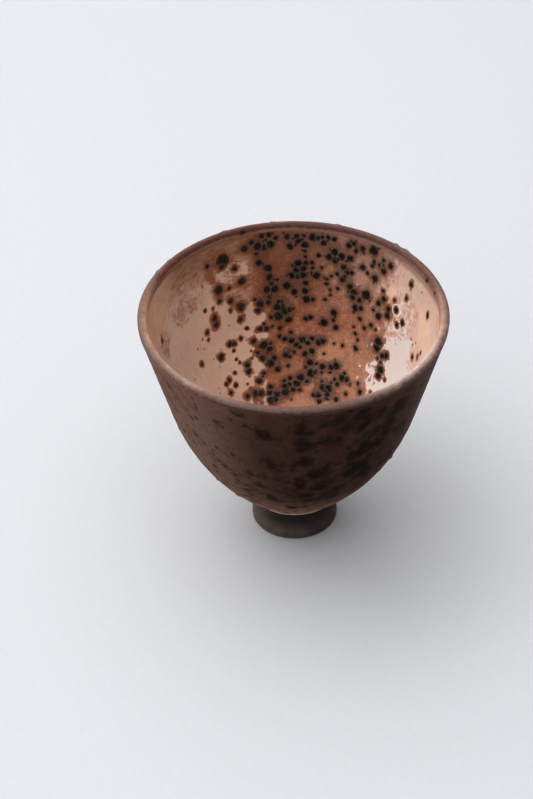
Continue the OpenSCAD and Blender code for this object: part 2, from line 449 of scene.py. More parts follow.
# Blisters: bearing in degrees from +X, height above the table, width of the black core and,
# where it is wide, of the halo
inside_blisters = [
    # On the pale left
    (121.5, 78, 3.8, 5.5), (122.4, 76, 1.4, 3.8), (129.3, 78.2, 1.2, 3), (116.5, 74, 1.3, 3.4),
    (126, 68.8, 2.4, 4.7), (114, 69, 1.9, 4.2), (120.5, 67.9, 0.8, 2.2), (126.8, 64.8, 1.1, 2.9),
    (121, 63.5, 1.3, 3.2), (135.7, 64.3, 0.8, 1.9), (131, 63.4, 0.6, 1.8), (131.5, 60, 1.7, 4.3),
    (131.3, 57.8, 1.7, 4.3), (137.6, 57, 1.2, 2.8), (138, 54.3, 0.6, 1.8), (133.3, 46.8, 2, 3.6),
    (126, 49.3, 1.4, 3), (123.7, 48.9, 1.4, 3), (119, 49.7, 1.1, 2.2), (117.6, 56, 1.5, 2.8),
    (116.3, 60.3, 2.2, 4), (121.8, 60.3, 0.8, 2.3), (114.7, 52.4, 1.1, 1.8), (124.6, 46.7, 0.9, 1.7),
    (124.5, 43.8, 0.9, 1.4), (123, 42.5, 0.5), (118.7, 40.9, 1.6, 3.4), (118.8, 39, 1.6, 3.4),
    (128, 40.1, 0.9, 1.8), (133.5, 39, 1.3, 2.6), (136.5, 38.5, 1, 2.2), (130.4, 36.7, 1.2, 2.4),
    (136, 35.5, 1.1, 2.8), (124.8, 32.3, 1.4, 2.5), (118, 32.2, 2, 4), (115, 31.8, 2, 4),
    (147.6, 48.8, 1.2), (173.5, 70.6, 1.4, 2.6),
    # The drift at the back: its left side, its top and its foot
    (111, 79.7, 1.9), (107.5, 81.3, 1.6), (103, 83, 1.5), (105, 79.7, 2.6), (102.3, 79, 1.8),
    (99.6, 80, 2.2), (100, 83.2, 1.6), (97.2, 81.8, 1.3), (106, 77.1, 1), (101.5, 81.5, 0.8),
    (105.2, 74, 1.9), (101.3, 71.8, 2.3), (101, 68.5, 1.8), (97.4, 67.3, 0.8), (102.3, 64.3, 2),
    (99, 64.2, 2.4), (100, 65.8, 1.4), (93, 65, 2.3), (89.5, 62.8, 1.9), (108.8, 61.5, 0.9),
    (106.5, 59.7, 2.2), (107.7, 57.6, 1.7), (102.3, 59.8, 1.3), (101.5, 61.3, 0.8),
    (97.3, 59.6, 1.2), (97.5, 57.8, 2.6), (94.5, 56.2, 2.9), (97.3, 54.8, 2.6), (92.4, 56.6, 1.8),
    (95.5, 58, 1.8), (92.5, 53.3, 1.8), (97, 50.5, 1.3), (107.7, 51.1, 1.4), (104.2, 50.7, 1.3),
    (105.2, 52.6, 0.8), (101.2, 54.5, 0.9), (101, 51.3, 0.6), (112.2, 47.6, 1.5),
    (106.7, 45.6, 2.3), (103.8, 44.1, 1.7), (102.8, 45.8, 0.8), (110.7, 43.7, 1),
    (108.5, 41.6, 1.6), (104, 39.8, 2.3), (101.8, 41, 1.6), (100.2, 37.7, 1.7), (97.5, 47.9, 1.1),
    (94.8, 46.9, 1.4), (91, 46.2, 1.7), (88.4, 45, 1.4), (86.5, 44, 1), (91.3, 48.9, 1),
    (94.3, 41.8, 1.9), (93, 43, 0.9), (92.4, 41.2, 1.1), (89.7, 42.6, 0.9), (93.5, 38.4, 0.8),
    (109.5, 37.2, 1.3), (113.5, 35.3, 1.8), (110.5, 36.3, 0.8), (106.8, 32.9, 1.4),
    (108, 31.3, 1.6), (103, 30.5, 1.8), (96.5, 34.1, 1), (92.4, 34.7, 1.2), (93, 33, 1.4),
    (88, 33.2, 2), (90.8, 31.6, 1.4), (96, 32.4, 2), (96, 31, 2.4), (86, 31.5, 0.9),
    (85.2, 35, 2.2),
    (91.3, 78.7, 1.8), (92.5, 82, 1.6), (88.5, 82, 1.6), (87.7, 80.7, 1.8), (85.5, 82.3, 1),
    (84.9, 79.2, 2), (84.9, 77.2, 0.9), (84.7, 75.2, 1), (90.3, 68.6, 2.2), (88.6, 70.2, 2.2),
    (87.6, 72.7, 2.2), (85.7, 70.9, 2.3), (85.6, 68.9, 2.4), (88, 68.5, 1.9), (84.3, 73, 1.5),
    (81.8, 82, 2.2), (79.5, 82, 1.6), (77.7, 82.4, 1.2), (75.2, 82.4, 1.4), (72.6, 82.3, 1.5),
    (77, 80.5, 1.6), (78.8, 76, 1.3), (81.6, 73.2, 1.2), (81.3, 71.5, 1), (79.3, 69, 2.1),
    (77.2, 71.9, 0.7), (84.2, 66, 1.4), (84.4, 63.2, 1.8), (83.5, 60.4, 2.2), (80.7, 60.5, 1.2),
    (72.6, 69.5, 0.8), (74.3, 68.1, 0.9), (74.6, 66.6, 1.1), (75.7, 68.6, 0.5), (72.6, 64.7, 0.8),
    (72.1, 63, 0.7), (74.6, 61, 0.9), (69, 65.6, 1), (69.8, 70.7, 1), (74, 76, 2.1),
    (71.8, 77.8, 2.2), (71.5, 75.2, 2.2), (68.8, 76.9, 2.4), (64.7, 77, 2), (70, 75.8, 1.2),
    (66, 81.4, 1.8), (64, 82.3, 1.6), (62.5, 79.9, 1.3), (59.6, 81.6, 1.6), (58.4, 75.2, 1.7),
    (55.5, 74, 0.9), (53.9, 77, 1), (53.3, 78.4, 0.9), (67.2, 73.4, 1.6), (65.2, 72, 1.6),
    (66.4, 70.3, 1.4), (67, 69.2, 1.8), (63.2, 72.2, 1.5), (54.5, 82.2, 3), (51.4, 73.2, 2),
    (54.3, 66.5, 2.7), (62.8, 67.2, 1.8, 4), (61, 66, 2.2, 4), (60.9, 64, 1.4, 3.6),
    (57.4, 63.8, 1.4), (58.7, 60.7, 2), (56, 61.4, 1.4),
    (69.6, 57, 1.8), (69.5, 54.4, 0.9), (67.7, 52.1, 1.5), (74.3, 53, 2.2), (83.7, 53.6, 1.3),
    (81.4, 54.3, 1.4), (76, 46.3, 1.8), (74.3, 46.9, 1.9), (79.8, 47.2, 1.3), (82.2, 45.6, 1.4),
    (85, 46.6, 1.8), (83.4, 42.1, 1.4), (79.4, 43, 1.6), (80, 39.6, 2), (76, 39.4, 0.7),
    (72, 38.9, 1.7), (78.5, 36.5, 2.5), (76.5, 36.8, 1.6), (81, 34, 1), (82.3, 38, 0.8),
    (66.4, 39.2, 1.6), (63.7, 40.1, 2), (57.8, 37.2, 1.8), (54.4, 37.3, 1.4), (57, 38.8, 0.9),
    (62.4, 36.1, 0.9), (60, 35, 1.1), (69, 33, 2.2), (66, 33, 2.8), (65, 31.5, 1.6),
    (71.5, 30.7, 1.6), (75, 30.5, 1.2), (51.8, 55.2, 1.1), (58, 54.1, 0.6), (56.4, 52.1, 0.9),
    (54.4, 50.4, 0.7), (54.2, 47.5, 1.3, 2.8), (55.3, 57.7, 1.2), (62.4, 46.8, 0.8),
    (67.4, 46.7, 0.5), (72.2, 42.8, 0.5), (51.3, 33.4, 1), (57, 31, 1.3), (51, 36.5, 0.8),
    # On the right
    (44.8, 80, 1.8), (49, 80.5, 1), (47.8, 77, 1.7), (50.6, 78.3, 0.8), (31, 78.9, 1.5),
    (12.5, 76.5, 1.8, 2.6), (31.5, 73.5, 1.2), (46, 70.6, 0.9), (44.4, 68.2, 1.6), (38.3, 70, 0.8),
    (35.6, 67.3, 1.8, 2.6), (46.8, 65.8, 1.5), (40.5, 65.8, 1.6, 3.4), (40.2, 63.6, 1.9, 3.6),
    (29.6, 65.2, 1.8, 2.8), (32.9, 62.9, 1.4, 2.6), (45.3, 61.5, 2.3, 3.5), (49, 62.6, 0.9),
    (48.6, 57.3, 1.1), (45.1, 56.6, 0.7), (13, 59.8, 1.3, 2.6), (7.5, 62.7, 1, 2.2),
    (5.5, 65.5, 0.8, 1.8), (41.8, 53.2, 2.6, 4.6), (41.6, 51.2, 2.4, 4.2), (36.5, 50, 1.8),
    (34, 50.9, 2), (34.2, 45.6, 2.7, 4.4), (34, 43.9, 2.2, 3.8), (38.8, 48.2, 0.6),
    (36, 47.8, 0.9, 2.4), (28.3, 44.2, 0.8), (41.8, 36, 1.4), (45.6, 37.8, 0.9), (51, 36.4, 0.8)]
# Rust flecks with no core: bearing, height, width
flecks = [
    (141.8, 55.7, 1.2), (146.8, 54.1, 1), (142.5, 52.5, 0.8), (157.6, 46.9, 1.1), (122, 35.5, 1),
    (121, 34.2, 0.9), (155, 67.3, 1), (143, 38.7, 0.8), (144, 37.3, 0.8), (132, 49, 0.7),
    (138.5, 47.4, 0.7), (136.5, 44.2, 0.6), (124, 55.3, 0.8), (129, 55.6, 0.6), (116.1, 48.4, 0.5),
    (114.7, 44.8, 0.9), (115, 42.5, 0.9), (26.5, 62, 0.8), (27.2, 59.7, 0.6), (19.5, 63.7, 1.2),
    (16.8, 62.5, 0.9), (14.3, 64.8, 0.9), (22.8, 43.3, 1), (34, 37.9, 1.2), (30.6, 77, 0.7),
    (129.5, 74.8, 3.6), (128.2, 72.6, 2.6), (134, 72.5, 1.2), (23, 79.6, 0.9)]

inside_spots = []
for bearing, height, core, *halo in inside_blisters:
    wide = halo[0] if halo else 1.5 * core + 0.8
    inside_spots.append(on_wall(inside_line, bearing, height, 0.56 * core, 0.57 * wide))
for bearing, height, wide in flecks:
    inside_spots.append(on_wall(inside_line, bearing, height, 0, wide / 2))

# Smaller ones crowd round the large ones of the drift
chance = random.Random(7)
wall_r = 42  # about how far the wall stands from the axis there
for x, y, z, core, _ in inside_spots[:]:
    bearing = math.degrees(math.atan2(y, x))
    if core > 0.85 and abs(bearing - 76) < 30:
        small = chance.choice((0.2, 0.25, 0.3, 0.4))
        away = core + chance.uniform(0.3, 0.9)
        turn = chance.uniform(0, math.tau)
        up = min(z + away * math.sin(turn), 83.5)
        beside = bearing + math.degrees(away * math.cos(turn) / wall_r)
        inside_spots.append(on_wall(inside_line, beside, up, small, 2 * small + 0.2))


def scatter(spots, line, count, bearing, height, cores, share, halo):
    """Add spots at random to the wall: cores in millimetres, of which share is the half width."""
    for k in range(count):
        turn = bearing()
        up = height()
        core = chance.choice(cores)
        spots.append(on_wall(line, turn, up, share * core, halo[0] * core + halo[1]))


# The drift of blisters goes on across the floor and up the wall nearest the camera
for k in range(70):
    across = chance.gauss(1, 8)
    along = chance.uniform(-26, 25)
    out = min(math.hypot(across, along), 26)
    up = float(np.interp(out, *zip(*inside_line)))
    core = chance.choice((0.8, 1, 1.2, 1.5, 1.8, 2.2, 2.6))
    turn = math.atan2(along, across)
    inside_spots.append(
        (out * math.cos(turn), out * math.sin(turn), up, core / 2, 0.65 * core + 0.25))
scatter(
    inside_spots, inside_line, 110, lambda: chance.gauss(276, 17), lambda: chance.uniform(27, 82),
    (0.8, 0.9, 1, 1.2, 1.4, 1.8, 2, 2.4), 0.5, (0.65, 0.25))
for k in range(40):
    bearing = chance.uniform(182, 358)
    core = chance.choice((0.5, 0.7, 1, 1.3))
    up = chance.uniform(26, 80)
    inside_spots.append(on_wall(inside_line, bearing, up, core / 2, core + 0.3))


def part_edges(shape, skin, spots, size, beyond, shortest):
    """Halve the skin's edges in the spots and just beyond, where they are longer than shortest.

    A spot's size is its core (3) or its halo (4).
    """
    edges = [edge for edge in shape.edges
             if edge.verts[0][skin] and edge.verts[1][skin] and edge.calc_length() > shortest]
    middles = np.array([(edge.verts[0].co + edge.verts[1].co) / 2 for edge in edges])
    near = np.zeros(len(edges), bool)
    for spot in spots:
        near |= np.linalg.norm(middles - spot[:3], axis=1) < spot[size] + beyond
    bmesh.ops.subdivide_edges(
        shape, edges=[edge for edge, cut in zip(edges, near) if cut], cuts=1,
        use_grid_fill=True, use_single_edge=True)


def boil_up(piece, spots, doming, ringing, swelling):
    """Raise the blisters out of the skin, and paint their cores and haloes on it."""
    places, outward = points(piece)
    on_skin = np.zeros(len(places), dtype=np.int32)
    piece.data.attributes["skin"].data.foreach_get("value", on_skin)
    ragged = 1 + 0.26 * wander(places, 1.3, 2) + 0.2 * wander(places, 0.5, 6)
    crust, bleed, next_bleed = np.full((3, len(places)), -1.0)
    scorch, smoke, lift = np.zeros((3, len(places)))
    for x, y, z, core, halo in spots:
        away = np.linalg.norm(places - (x, y, z), axis=1)
        close = np.flatnonzero(away < 2 * halo + 2)
        away = away[close] * ragged[close]
        here = 1 - away / halo
        next_bleed[close] = np.maximum(next_bleed[close], np.minimum(bleed[close], here))
        bleed[close] = np.maximum(bleed[close], here)
        smoke[close] += min(core, 1) * np.exp(-(away / (1.2 * halo)) ** 2)
        if core:
            crust[close] = np.maximum(crust[close], 1 - away / core)
            scorch[close] = np.maximum(scorch[close], (halo - away) / (halo - core))
            dome = np.clip(1 - (away / (1.1 * core)) ** 2, 0, 1) ** 0.8
            if core > 1.1:  # the largest have burst and left a small crater
                dome -= 1.2 * np.exp(-(away / (0.5 * core)) ** 2)
            taller = np.maximum(lift[close] / doming, dome * core)
            lift[close] = np.where(dome < 0, dome, taller) * doming
    # Where two haloes meet, the glaze between them stands in a thin paler ridge
    seam = np.clip(1 - (bleed - next_bleed) / 0.35, 0, 1) * np.clip(3 * next_bleed, 0, 1)
    rings = ringing * np.sin(math.tau * places[:, 2] / 5.2 + 2 * wander(places, 30, 4))
    swell = swelling * wander(places, 7, 9)
    move(piece, places + outward * ((lift + rings + swell) * on_skin)[:, None])
    paint(piece, crust=crust, bleed=bleed, scorch=scorch, smoke=smoke, seam=seam)
    piece.data.attributes.remove(piece.data.attributes["skin"])
    return places


def patches(places, *ovals):
    """Soft ovals on the wall, listed one by one: bearing, height, half widths in degrees and mm."""
    turn = np.degrees(np.arctan2(places[:, 1], places[:, 0]))
    inside = np.zeros(len(places))
    for bearing, height, wide, tall in ovals:
        across = ((turn - bearing + 180) % 360 - 180) / wide
        up = (places[:, 2] - height) / tall
        inside = np.maximum(inside, np.clip(1.5 - np.hypot(across, up), 0, 1))
    return inside


part_edges(lining, skin, inside_spots, 4, beyond=0.9, shortest=0.7)
part_edges(lining, skin, inside_spots, 3, beyond=0.35, shortest=0.4)

inner = Finish("inside_satin_glaze")
crust = inner.read("crust")
bleed = inner.read("bleed")
across = inner.axis(0)
high = inner.axis(2)
grain = inner.clouds(0.25, 2, 0.6, 5.0)
salt = inner.clouds(0.45, 2, 0.7, 12.0)
fine = inner.clouds(0.7, 3, 0.6, 1.0)
small = inner.clouds(2.2, 3, 0.55, 6.0)
broad = inner.clouds(5.0, 4, 0.55, 2.0)
wide = inner.clouds(14.0, 3, 0.5, 3.0)
streaks = inner.clouds(1.4, 4, 0.6, 8.0, 4.0)
bands = inner.clouds(4.0, 3, 0.6, 9.0, 0.3)
right = across.rise(-20, 25)
far_left = 1 - across.rise(-45, -36)
# Thin glaze: rust, mottled from orange to a pinkish brown
thin = inner.blend(
    (0.5 * small + 0.5 * fine).rise(0.36, 0.64), inner.blend(right, (138, 78, 50), (138, 86, 62)),
    inner.blend(right, (182, 114, 76), (184, 127, 96)))
thin = inner.blend(0.7 * broad.rise(0.48, 0.62), thin, (146, 100, 82))
thin = inner.blend(0.6 * wide.rise(0.5, 0.64), thin, (204, 148, 114))
mauve = high.rise(56, 72) * across.rise(6, 24)
thin = inner.blend(0.75 * mauve, thin, inner.blend(small, (154, 114, 96), (208, 168, 146)))
blush = across.rise(8, 26) * (1 - high.rise(42, 56))
thin = inner.blend(0.5 * blush, thin, (210, 152, 122))
thin = inner.blend(0.5 * salt.rise(0.48, 0.68), thin, (96, 56, 38))
thin = inner.blend(0.35 * (1 - salt.rise(0.32, 0.48)), thin, (220, 172, 140))
# Half-thick glaze: tan on the left, paler at the far left, peach on the right
half_left = inner.blend(bands.rise(0.36, 0.64), (134, 90, 64), (190, 144, 116))
half_left = inner.blend(
    0.85 * far_left, half_left, inner.blend(bands, (192, 142, 112), (230, 188, 162)))
half_right = inner.blend(streaks.rise(0.3, 0.7), (232, 188, 158), (240, 204, 180))
half_right = inner.blend(0.6 * wide.rise(0.42, 0.6), half_right, (214, 176, 166))
half = inner.blend(right, half_left, half_right)
# Thick glaze: pale, warm on the left, where the warmth is partly painted warm light thrown back from
# the lit right wall, lilac at the far left and cream on the right
thick_left = inner.blend(wide.rise(0.35, 0.65), (202, 172, 152), (216, 182, 158))
thick_left = inner.blend(0.8 * (1 - across.rise(-44, -30)), thick_left, (206, 182, 172))
thick_right = inner.blend(streaks, (232, 216, 206), (246, 238, 232))
thick_right = inner.blend(high.rise(66, 78), thick_right, inner.blend(
    streaks, (192, 164, 142), (226, 204, 186)))
thick = inner.blend(right, thick_left, thick_right)
thick = inner.blend(0.4 * (0.4 * salt + 0.6 * streaks).rise(0.48, 0.66), thick, inner.blend(
    right, (178, 136, 110), (228, 184, 154)))
# The grounds meet in drips and dapples, and crowded blisters draw the thin one out round them
mottle = (broad - 0.5) + (streaks - 0.5) * (0.5 + 1.3 * right) + (small - 0.5) * (0.4 + 1.1 * right)
drawn_thin = 0.2 * bleed.rise(-0.9, 0)
thickness = (inner.read("pale") + mottle - drawn_thin).rise(0.36, 0.5)
# High on the left they run into each other without an edge
soft_edge = (1 - across.rise(-32, -22)) * high.rise(54, 64)
softer = (inner.read("pale") + mottle + 0.7 * (fine - 0.5)).rise(0.15, 0.75)
thickness = thickness + soft_edge * (softer - thickness)
halfway = (inner.read("tan") + 0.5 * mottle + 0.5 * (fine - 0.5)).rise(0.15, 0.55)
inner.colour = inner.blend(halfway, thin, half)
inner.lay(thickness, thick)
dusk = high.rise(52, 68) * across.rise(-17, -9) * (1 - across.rise(4, 14))
inner.lay(0.55 * dusk * (1 - thickness), (88, 47, 29))
spotty = (inner.read("dapple") * (0.6 * small + 0.5 * fine)).rise(0.48, 0.62)
inner.lay(0.75 * spotty, inner.blend(right, (150, 96, 66), (196, 134, 96)))
# The glaze runs thin and brown towards the lip
runs = (high + 8 * (bands - 0.5) + 8 * (wide - 0.5)).rise(71, 84) * (1 - 0.7 * right * halfway)
runs = runs * (1 - 0.8 * far_left)
inner.lay(0.65 * runs, inner.blend(right, (122, 82, 62), (136, 100, 88)))
collar = (inner.read("collar") + 0.3 * (small - 0.5)).rise(0.2, 0.7)
inner.lay(0.8 * collar, inner.blend(fine, (124, 92, 80), (156, 122, 108)))
# Iron has smoked the glaze between crowded blisters, with a thin ridge between each two
haze = (inner.read("smoke") + 0.6 * (small - 0.5) + 0.4 * (fine - 0.5)).rise(0.35, 1.35)
haze = haze * (1 - 0.7 * thickness)
inner.lay((0.55 + 0.45 * fine) * haze, inner.blend(right, (78, 45, 29), (86, 62, 51)))
browned = (bleed + 0.5 * (fine - 0.5)).rise(-0.55, 0.1) * (1 - thickness)
inner.lay(0.55 * browned, inner.blend(right, (112, 64, 42), (122, 84, 66)))
# Haloes: rust with a crisp edge on the pale ground, dark and soft in the drift
crisp = (bleed + 0.25 * (fine - 0.5)).rise(-0.04, 0.08)
soft = (bleed + 0.3 * (fine - 0.5)).rise(0.0, 0.6)
open_ground = thickness.over(0.8 * halfway)
ring = soft + open_ground * (crisp - soft)
rusty = inner.blend(
    (inner.read("scorch") + 0.5 * (fine - 0.5)).rise(0.2, 0.95), (156, 90, 55), (60, 33, 20))
smoky = inner.blend(bleed.rise(0.1, 0.6), (92, 60, 44), (40, 27, 21))
inner.lay(0.92 * ring, inner.blend(open_ground, smoky, rusty))
inner.lay(0.45 * inner.read("seam"), (132, 108, 96))
# Glaze drawn back from two blisters on the right leaves a pale line round them
out = 2.0
for bearing, height, whole in ((35.6, 67.3, 1), (32.9, 62.9, 0)):
    spot = on_wall(inside_line, bearing, height)
    away = inner.add("ShaderNodeVectorMath", {"operation": "DISTANCE"}, {
        0: inner.place, 1: Vector(spot) * mm}, "Value") * 1000
    line = away.rise(out - 0.35, out - 0.05) * (1 - away.rise(out + 0.05, out + 0.35))
    lower = 1 - (1 - whole) * high.rise(height - 1, height + 0.5)
    inner.lay(0.85 * line * lower, (250, 240, 234))
core = (crust + 0.9 * (fine - 0.5) + 0.3 * (grain - 0.5)).rise(-0.2, 0.32)
inner.lay(core, inner.blend(grain.rise(0.45, 0.75), (7, 6, 5), (40, 34, 28)))
inner.lay(0.4 * inner.read("seam") * core, (110, 94, 84))
# Painted glints: pale specks in the black cores stand in for highlights
painted_glints = inner.specks(0.24, 0.7, 0.16, 14.0) * crust.rise(0, 0.4)
inner.lay(0.6 * painted_glints, (150, 142, 134))
dots = inner.specks(0.35, 1.3, 0.35, 2.0) * (1 - 0.6 * thickness)
# Pale specks: partly pale grains in the glaze, partly painted sparkle
grains_and_sparkle = inner.specks(0.26, 1.1, 0.1, 9.0)
inner.lay(0.6 * dots, (64, 38, 28))
inner.lay(0.6 * grains_and_sparkle, (246, 226, 206))
roughness = 0.5 + 0.1 * fine - 0.28 * core - 0.15 * grains_and_sparkle
relief = 0.5 * fine + 0.3 * grain + 1.4 * core * fine
inside_glaze = inner.finish(roughness, relief, 0.07, 0.22)

coat_inside = fire(lining, "inside_glaze_coat", inside_glaze)
places = boil_up(coat_inside, inside_spots, 0.3, 0.02, 0.04)
paint(
    coat_inside,
    pale=patches(
        places, (150, 49, 41, 24), (118.5, 73, 8, 4), (107, 48.5, 4, 1.6), (110, 56, 5, 6),
        (113, 36, 6, 8), (24, 48, 18, 14), (30, 70, 6, 16), (205, 50, 30, 24), (335, 50, 24, 24)),
    tan=patches(
        places, (148, 78, 30, 15), (117, 70, 7, 12), (18, 70, 24, 17), (180, 64, 16, 22),
        (205, 76, 30, 12), (340, 74, 24, 14)),
    dapple=patches(
        places, (148, 69, 16, 7), (30, 68, 16, 15), (38, 64, 12, 12), (118, 72, 9, 9),
        (172, 68, 12, 8)),
    collar=patches(places, (27, 84.6, 24, 2.2)))
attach(coat_inside, "root")
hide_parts("inside_glaze")


# -------------------- outside glaze
# The bowl was dipped in the same glaze, thinner, so that it fired dark brown. It stops just
# above the foot in a thick rolled edge, where it has drawn back and shows paler.

roll_r = 0.6
bare_w = 0.5
coat_top = 84.7
roll_proud = roll_r / 2
roll = joint + (bare_w + roll_r) * slope_up + (roll_r - roll_proud) * slope_in
on_clay = math.degrees(math.asin((glaze_t - roll_r + roll_proud) / roll_r))
on_coat = math.degrees(math.asin((roll_r - roll_proud) / roll_r))

jacket = bmesh.new()
skin = jacket.verts.layers.int.new("skin")
begin = roll + roll_r * toward(cone_slope - 180 - on_clay)
start = jacket.verts.new((begin.x, 0, begin.y))
corner = swing(jacket, start, roll, 180 + on_clay - on_coat, 10)
corner = wall_up(jacket, corner, (0, 0), coat_top, (9, 64, 14))
before = set(jacket.verts)
corner = draw(jacket, corner, flare_at(glaze_t, coat_top), coat_top)
end = wall_down(jacket, corner, (glaze_t, glaze_t), begin, (4, 16, 2))
for vert in before | {end}:
    vert[skin] = 1
outside_line = sorted(
    ((vert.co.x, vert.co.z) for vert in before), key=lambda corner: (corner[1], corner[0]))
throw(jacket, 240)

# Blisters in the dark drift, and a few wide apart on its left: bearing, height, width of the core
outside_blisters = [
    (258.2, 74.7, 1.6), (225, 69, 2), (223.5, 60, 1.8), (235, 59, 1.6), (228, 58, 1.5),
    (212.5, 55.5, 1.5), (219, 53.5, 1.5), (243, 58.5, 1.8), (246, 78, 1.5), (250.5, 50, 1.5),
    (256.5, 50, 1.6), (255.5, 43.5, 1.5), (257.5, 36, 2), (262.6, 49, 1.5), (265.2, 58.8, 1.6),
    (269, 55, 1.3), (265.5, 48, 1.4), (268.5, 39, 1.3), (264, 34, 1.6), (267.6, 28.3, 1.8),
    (239.5, 32, 1.8), (276.5, 59.5, 1.6), (273, 48, 1.5), (279, 64.5, 1.6), (290, 49.7, 1.6),
    (289.7, 34.5, 1.7), (275.5, 28, 1.8), (288, 26.5, 1.8), (326, 55.5, 1.6), (317, 46, 1.8),
    (274, 37.5, 1.4), (282, 31, 1.4), (270, 22, 1.2), (262, 20.5, 1), (278, 20, 1.2),
    (253, 24, 1.2), (247, 28, 1.4), (285, 23, 1.2)]
# Grit under the glaze low on the side: bearing, height, how far it stands up
outside_grit = [(227, 25.3, 0.4), (214, 29.7, 0.35), (204, 51.3, 0.3), (332, 38.6, 0.35),
                (322.5, 37.2, 0.3), (47, 40, 0.35), (141, 31, 0.4), (98, 55, 0.3), (8, 62, 0.3)]
outside_spots = []
for bearing, height, wide in outside_blisters:
    outside_spots.append(on_wall(outside_line, bearing, height, 0.5 * wide, 0.95 * wide))
scatter(
    outside_spots, outside_line, 150, lambda: chance.uniform(0, 360),
    lambda: 14 + 68 * math.sqrt(chance.random()), (0.5, 0.6, 0.8, 1, 1.2, 1.5), 0.5, (0.75, 0.3))
scatter(
    outside_spots, outside_line, 150, lambda: chance.uniform(180, 360),
    lambda: chance.uniform(13.5, 52), (0.8, 1.1, 1.4, 1.8), 0.6, (1, 0.4))
scatter(
    outside_spots, outside_line, 60, lambda: chance.gauss(96, 20),
    lambda: 16 + 66 * math.sqrt(chance.random()), (1, 1.3, 1.8, 2.4, 3), 0.5, (0.7, 0.3))
part_edges(jacket, skin, outside_spots, 4, beyond=0.9, shortest=0.7)
part_edges(jacket, skin, outside_spots, 3, beyond=0.3, shortest=0.4)

outer = Finish("outside_dark_glaze")
crust = outer.read("crust")
bleed = outer.read("bleed")
high = outer.axis(2)
fine = outer.clouds(0.8, 3, 0.6, 1.0)
grain = outer.clouds(0.3, 2, 0.6, 5.0)
broad = outer.clouds(6.0, 4, 0.55, 2.0)
wide = outer.clouds(22.0, 3, 0.5, 3.0)
small = outer.clouds(2.5, 3, 0.55, 6.0)
outer.colour = outer.blend((fine + 0.3 * grain).rise(0.45, 0.95), (104, 74, 60), (126, 95, 80))
outer.lay(0.4 * (wide + 0.3 * broad).rise(0.55, 0.8), (122, 96, 84))
outer.lay(0.45 * broad.rise(0.48, 0.7), (84, 58, 48))
outer.lay(0.4 * small.rise(0.52, 0.68), (62, 42, 35))
# Lower down it is thinner and warmer
outer.lay(0.7 * (1 - high.rise(14, 36)), (152, 114, 98))
outer.lay(0.45 * high.rise(64, 84), (118, 77, 64))
# The drift is laid on dark: partly the iron drift, partly painted shade on the front right, the side
# away from the window
drift = (outer.read("drift") + 0.5 * (wide - 0.5)).rise(0, 0.9) * high.rise(15, 38)
outer.lay(0.9 * drift, outer.blend(
    (0.5 * small + 0.5 * broad).rise(0.36, 0.64), (38, 20, 14), (60, 36, 27)))
cloudy = outer.clouds(4.5, 4, 0.6, 15.0)
blots = cloudy.rise(0.5, 0.66) * drift
outer.lay(0.6 * blots, (26, 14, 10))
stain = outer.read("stain") + 3 * (cloudy - 0.5) + 1.4 * (broad - 0.5) + 0.7 * (small - 0.5)
outer.lay(0.9 * stain.rise(0.1, 1.15), (16, 8, 6))
ring = (bleed + 0.5 * (fine - 0.5)).rise(-0.2, 1)
outer.lay(0.6 * ring, (44, 27, 21))
core = (crust + 0.5 * (fine - 0.5)).rise(-0.3, 1)
outer.lay(0.75 * core, outer.blend(grain, (16, 9, 7), (36, 24, 19)))
freckles = outer.specks(1.7, 3.6, 0.45, 21.0) * (1 - 0.8 * high.rise(34, 56))
outer.lay(0.7 * freckles, (34, 20, 16))
peppered = outer.specks(0.8, 2.1, 0.4, 27.0) * (1 - high.rise(20, 40))
outer.lay(0.6 * peppered, (36, 22, 17))
dots = outer.specks(0.6, 1.7, 0.3, 2.0)
outer.lay(0.5 * dots, (40, 27, 22))
# Pale specks: partly pale grains, partly painted sparkle
grains_and_sparkle = outer.specks(0.2, 1.0, 0.08, 9.0)
outer.lay(0.25 * grains_and_sparkle, (180, 156, 140))
# The glaze is thick, and so pale and orange, on the rolled edge above the foot; its paleness is
# partly painted reflection along the edge
edge = 1 - (high + 0.6 * (fine - 0.5) + 0.8 * (broad - 0.5)).rise(12.8, 13.7)
outer.lay(0.8 * edge, outer.blend(fine, (166, 124, 100), (220, 184, 160)))
roughness = 0.66 + 0.14 * fine - 0.14 * core - 0.1 * edge
outside_glaze = outer.finish(roughness, 0.6 * fine + 0.3 * grain + 0.4 * core * grain, 0.09, 0.03)

